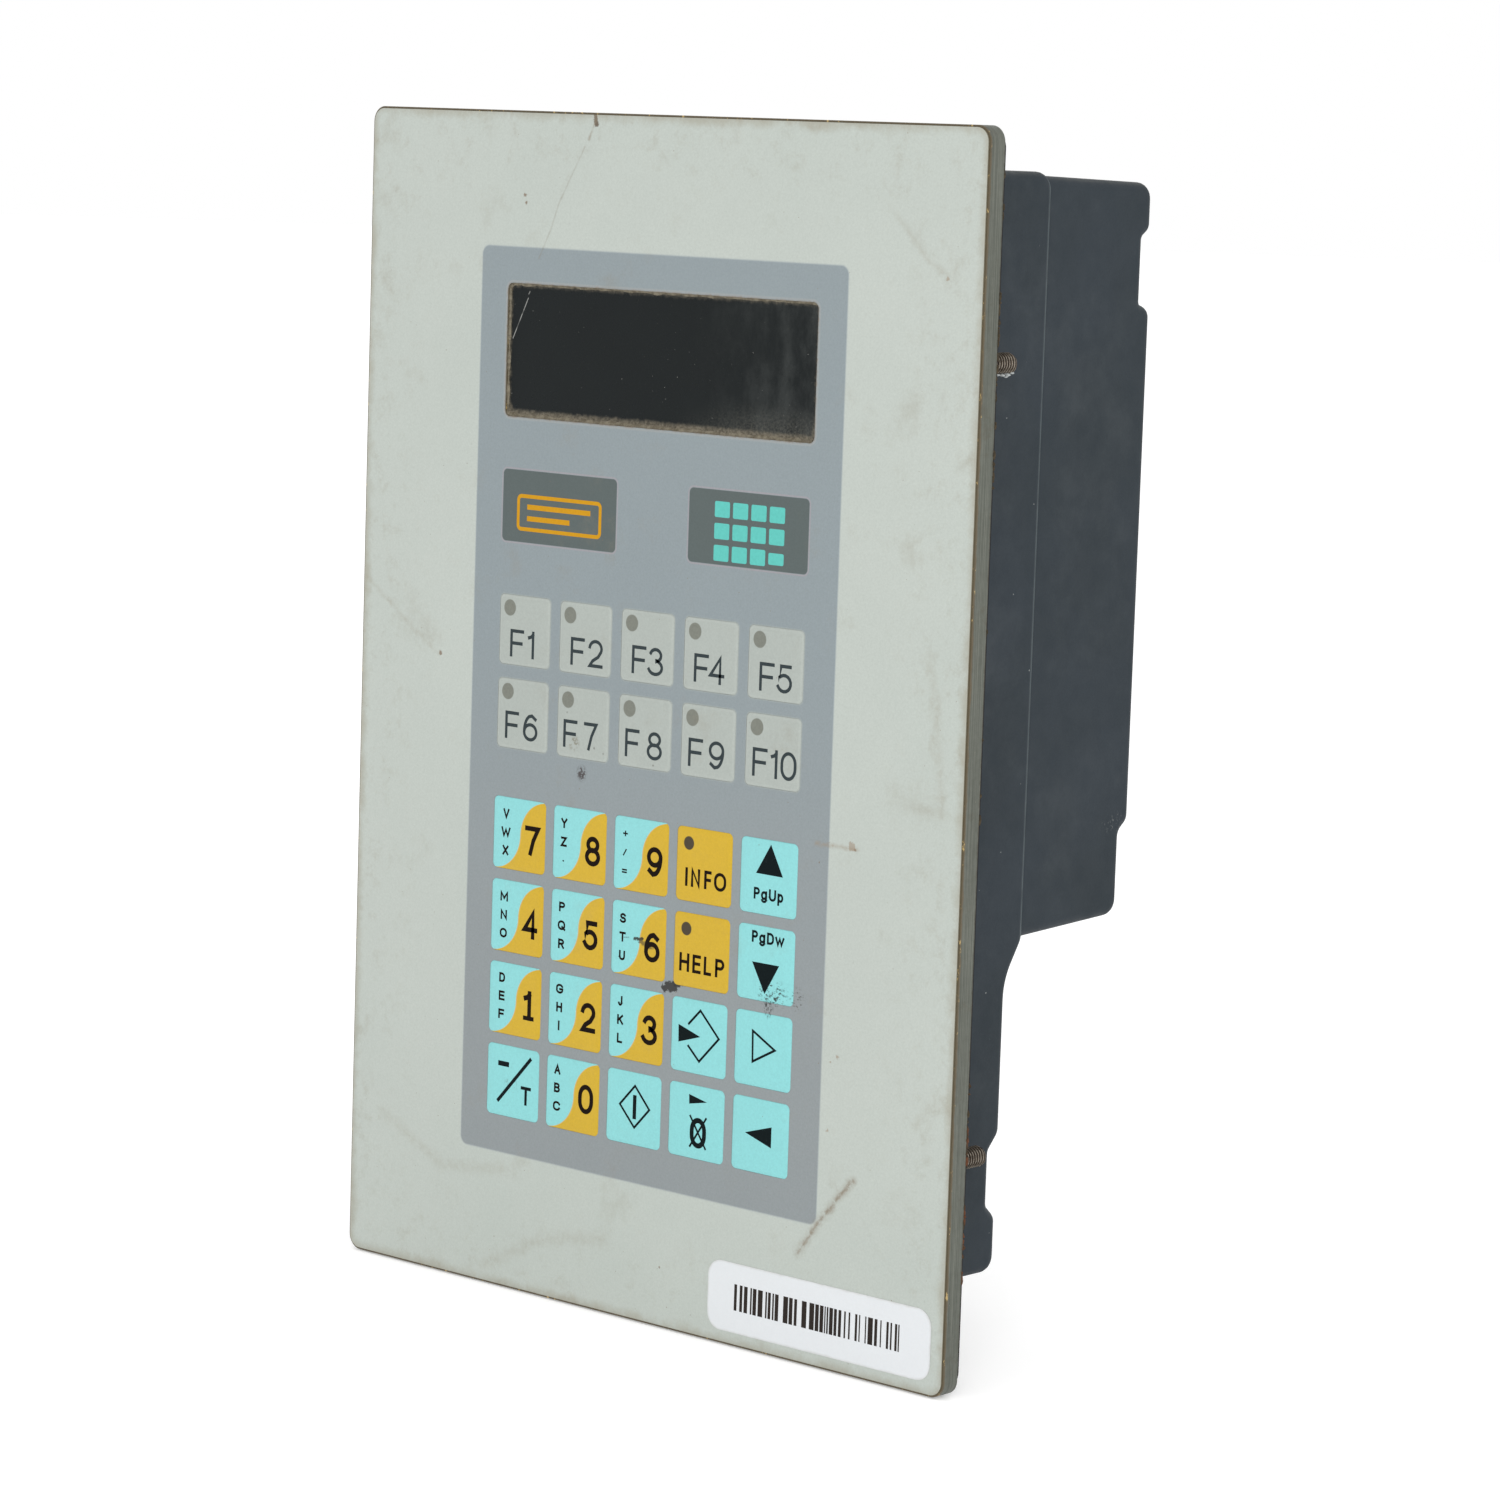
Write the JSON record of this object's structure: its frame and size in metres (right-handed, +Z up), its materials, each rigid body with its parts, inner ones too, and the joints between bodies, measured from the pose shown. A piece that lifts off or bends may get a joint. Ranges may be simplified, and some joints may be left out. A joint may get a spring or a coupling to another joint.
{
  "type": "operator panel",
  "caption": "Machine operator panel: an aluminium front plate with a display window and a membrane keypad, and a stepped moulded housing behind it.",
  "frame": {"origin": "centre of the front plate's rear face, which is the centre of the four mounting studs", "axes": "+Y from the front plate into the machine, along the studs; +Z up the panel; +X to the operator's right"},
  "size_m": [0.158, 0.065, 0.231],
  "materials": {
    "overlay_print": "fine matt printed polyester film",
    "plate_aluminium": "milled edge, dull and dirty",
    "label_film": "printed polyester label",
    "zinc_steel": "zinc plated, dulled",
    "gasket_rubber": "closed cell foam rubber",
    "spacer_film": "clear film with adhesive",
    "circuit_film": "polyester film with silver ink tracks",
    "dome_steel": "stamped stainless steel",
    "ribbon_film": "polyester tail with printed tracks",
    "window_acrylic": "smoked acrylic, dusty and scratched",
    "bezel_steel": "bent tinplate",
    "lcd_glass": "liquid crystal cell",
    "backlight_plastic": "diffuser",
    "circuit_board": "green solder mask on glass epoxy",
    "ribbon_cable": "grey flat cable",
    "lamp_lens": "diffused epoxy lens",
    "chip_epoxy": "moulded epoxy",
    "battery_steel": "lithium cell in a holder",
    "fuse_glass": "glass tube in spring clips",
    "connector_shell": "tinned steel shell",
    "terminal_plastic": "moulded nylon",
    "post_brass": "nickel plated brass",
    "housing_plastic": "satin moulded plastic, finely textured",
    "black_steel": "black passivated steel",
    "key_film_grey": "embossed printed film",
    "key_film_number": "embossed printed film in two tints",
    "key_film_amber": "embossed printed film",
    "key_film_aqua": "embossed printed film"
  },
  "bodies": {
    "panel": {"front_overlay": "overlay_print", "front_plate": "plate_aluminium", "asset_label": "label_film", "mounting_studs": "zinc_steel", "panel_gasket": "gasket_rubber", "membrane_spacer": "spacer_film", "membrane_circuit": "circuit_film", "snap_domes": "dome_steel", "keypad_ribbon": "ribbon_film", "display_window": "window_acrylic", "lcd_bezel": "bezel_steel", "lcd_glass": "lcd_glass", "lcd_backlight": "backlight_plastic", "lcd_board": "circuit_board", "display_ribbon": "ribbon_cable", "led_board": "circuit_board", "led_lamps": "lamp_lens", "main_board": "circuit_board", "logic_chips": "chip_epoxy", "backup_battery": "battery_steel", "power_fuse": "fuse_glass", "serial_connector": "connector_shell", "printer_connector": "connector_shell", "power_terminal": "terminal_plastic", "terminal_screws": "zinc_steel", "jack_screws": "zinc_steel", "support_posts": "post_brass", "board_screws": "zinc_steel", "rear_housing": "housing_plastic", "housing_screws": "black_steel"},
    "key_f1": {"key_f1": "key_film_grey"},
    "key_f2": {"key_f2": "key_film_grey"},
    "key_f3": {"key_f3": "key_film_grey"},
    "key_f4": {"key_f4": "key_film_grey"},
    "key_f5": {"key_f5": "key_film_grey"},
    "key_f6": {"key_f6": "key_film_grey"},
    "key_f7": {"key_f7": "key_film_grey"},
    "key_f8": {"key_f8": "key_film_grey"},
    "key_f9": {"key_f9": "key_film_grey"},
    "key_f10": {"key_f10": "key_film_grey"},
    "key_7": {"key_7": "key_film_number"},
    "key_8": {"key_8": "key_film_number"},
    "key_9": {"key_9": "key_film_number"},
    "key_4": {"key_4": "key_film_number"},
    "key_5": {"key_5": "key_film_number"},
    "key_6": {"key_6": "key_film_number"},
    "key_1": {"key_1": "key_film_number"},
    "key_2": {"key_2": "key_film_number"},
    "key_3": {"key_3": "key_film_number"},
    "key_0": {"key_0": "key_film_number"},
    "key_info": {"key_info": "key_film_amber"},
    "key_help": {"key_help": "key_film_amber"},
    "key_page_up": {"key_page_up": "key_film_aqua"},
    "key_page_down": {"key_page_down": "key_film_aqua"},
    "key_recall": {"key_recall": "key_film_aqua"},
    "key_right": {"key_right": "key_film_aqua"},
    "key_sign": {"key_sign": "key_film_aqua"},
    "key_start": {"key_start": "key_film_aqua"},
    "key_clear": {"key_clear": "key_film_aqua"},
    "key_left": {"key_left": "key_film_aqua"}
  },
  "joints": [
    {"name": "key_f1_press", "type": "slide", "parent": "panel", "child": "key_f1", "axis": [0, 1, 0], "range_m": [0, 0.0004], "stiffness_N_per_m": 1500, "deforming": ["snap_domes"]},
    {"name": "key_f2_press", "type": "slide", "parent": "panel", "child": "key_f2", "axis": [0, 1, 0], "range_m": [0, 0.0004], "stiffness_N_per_m": 1500, "deforming": ["snap_domes"]},
    {"name": "key_f3_press", "type": "slide", "parent": "panel", "child": "key_f3", "axis": [0, 1, 0], "range_m": [0, 0.0004], "stiffness_N_per_m": 1500, "deforming": ["snap_domes"]},
    {"name": "key_f4_press", "type": "slide", "parent": "panel", "child": "key_f4", "axis": [0, 1, 0], "range_m": [0, 0.0004], "stiffness_N_per_m": 1500, "deforming": ["snap_domes"]},
    {"name": "key_f5_press", "type": "slide", "parent": "panel", "child": "key_f5", "axis": [0, 1, 0], "range_m": [0, 0.0004], "stiffness_N_per_m": 1500, "deforming": ["snap_domes"]},
    {"name": "key_f6_press", "type": "slide", "parent": "panel", "child": "key_f6", "axis": [0, 1, 0], "range_m": [0, 0.0004], "stiffness_N_per_m": 1500, "deforming": ["snap_domes"]},
    {"name": "key_f7_press", "type": "slide", "parent": "panel", "child": "key_f7", "axis": [0, 1, 0], "range_m": [0, 0.0004], "stiffness_N_per_m": 1500, "deforming": ["snap_domes"]},
    {"name": "key_f8_press", "type": "slide", "parent": "panel", "child": "key_f8", "axis": [0, 1, 0], "range_m": [0, 0.0004], "stiffness_N_per_m": 1500, "deforming": ["snap_domes"]},
    {"name": "key_f9_press", "type": "slide", "parent": "panel", "child": "key_f9", "axis": [0, 1, 0], "range_m": [0, 0.0004], "stiffness_N_per_m": 1500, "deforming": ["snap_domes"]},
    {"name": "key_f10_press", "type": "slide", "parent": "panel", "child": "key_f10", "axis": [0, 1, 0], "range_m": [0, 0.0004], "stiffness_N_per_m": 1500, "deforming": ["snap_domes"]},
    {"name": "key_7_press", "type": "slide", "parent": "panel", "child": "key_7", "axis": [0, 1, 0], "range_m": [0, 0.0004], "stiffness_N_per_m": 1500, "deforming": ["snap_domes"]},
    {"name": "key_8_press", "type": "slide", "parent": "panel", "child": "key_8", "axis": [0, 1, 0], "range_m": [0, 0.0004], "stiffness_N_per_m": 1500, "deforming": ["snap_domes"]},
    {"name": "key_9_press", "type": "slide", "parent": "panel", "child": "key_9", "axis": [0, 1, 0], "range_m": [0, 0.0004], "stiffness_N_per_m": 1500, "deforming": ["snap_domes"]},
    {"name": "key_4_press", "type": "slide", "parent": "panel", "child": "key_4", "axis": [0, 1, 0], "range_m": [0, 0.0004], "stiffness_N_per_m": 1500, "deforming": ["snap_domes"]},
    {"name": "key_5_press", "type": "slide", "parent": "panel", "child": "key_5", "axis": [0, 1, 0], "range_m": [0, 0.0004], "stiffness_N_per_m": 1500, "deforming": ["snap_domes"]},
    {"name": "key_6_press", "type": "slide", "parent": "panel", "child": "key_6", "axis": [0, 1, 0], "range_m": [0, 0.0004], "stiffness_N_per_m": 1500, "deforming": ["snap_domes"]},
    {"name": "key_1_press", "type": "slide", "parent": "panel", "child": "key_1", "axis": [0, 1, 0], "range_m": [0, 0.0004], "stiffness_N_per_m": 1500, "deforming": ["snap_domes"]},
    {"name": "key_2_press", "type": "slide", "parent": "panel", "child": "key_2", "axis": [0, 1, 0], "range_m": [0, 0.0004], "stiffness_N_per_m": 1500, "deforming": ["snap_domes"]},
    {"name": "key_3_press", "type": "slide", "parent": "panel", "child": "key_3", "axis": [0, 1, 0], "range_m": [0, 0.0004], "stiffness_N_per_m": 1500, "deforming": ["snap_domes"]},
    {"name": "key_0_press", "type": "slide", "parent": "panel", "child": "key_0", "axis": [0, 1, 0], "range_m": [0, 0.0004], "stiffness_N_per_m": 1500, "deforming": ["snap_domes"]},
    {"name": "key_info_press", "type": "slide", "parent": "panel", "child": "key_info", "axis": [0, 1, 0], "range_m": [0, 0.0004], "stiffness_N_per_m": 1500, "deforming": ["snap_domes"]},
    {"name": "key_help_press", "type": "slide", "parent": "panel", "child": "key_help", "axis": [0, 1, 0], "range_m": [0, 0.0004], "stiffness_N_per_m": 1500, "deforming": ["snap_domes"]},
    {"name": "key_page_up_press", "type": "slide", "parent": "panel", "child": "key_page_up", "axis": [0, 1, 0], "range_m": [0, 0.0004], "stiffness_N_per_m": 1500, "deforming": ["snap_domes"]},
    {"name": "key_page_down_press", "type": "slide", "parent": "panel", "child": "key_page_down", "axis": [0, 1, 0], "range_m": [0, 0.0004], "stiffness_N_per_m": 1500, "deforming": ["snap_domes"]},
    {"name": "key_recall_press", "type": "slide", "parent": "panel", "child": "key_recall", "axis": [0, 1, 0], "range_m": [0, 0.0004], "stiffness_N_per_m": 1500, "deforming": ["snap_domes"]},
    {"name": "key_right_press", "type": "slide", "parent": "panel", "child": "key_right", "axis": [0, 1, 0], "range_m": [0, 0.0004], "stiffness_N_per_m": 1500, "deforming": ["snap_domes"]},
    {"name": "key_sign_press", "type": "slide", "parent": "panel", "child": "key_sign", "axis": [0, 1, 0], "range_m": [0, 0.0004], "stiffness_N_per_m": 1500, "deforming": ["snap_domes"]},
    {"name": "key_start_press", "type": "slide", "parent": "panel", "child": "key_start", "axis": [0, 1, 0], "range_m": [0, 0.0004], "stiffness_N_per_m": 1500, "deforming": ["snap_domes"]},
    {"name": "key_clear_press", "type": "slide", "parent": "panel", "child": "key_clear", "axis": [0, 1, 0], "range_m": [0, 0.0004], "stiffness_N_per_m": 1500, "deforming": ["snap_domes"]},
    {"name": "key_left_press", "type": "slide", "parent": "panel", "child": "key_left", "axis": [0, 1, 0], "range_m": [0, 0.0004], "stiffness_N_per_m": 1500, "deforming": ["snap_domes"]}
  ]
}
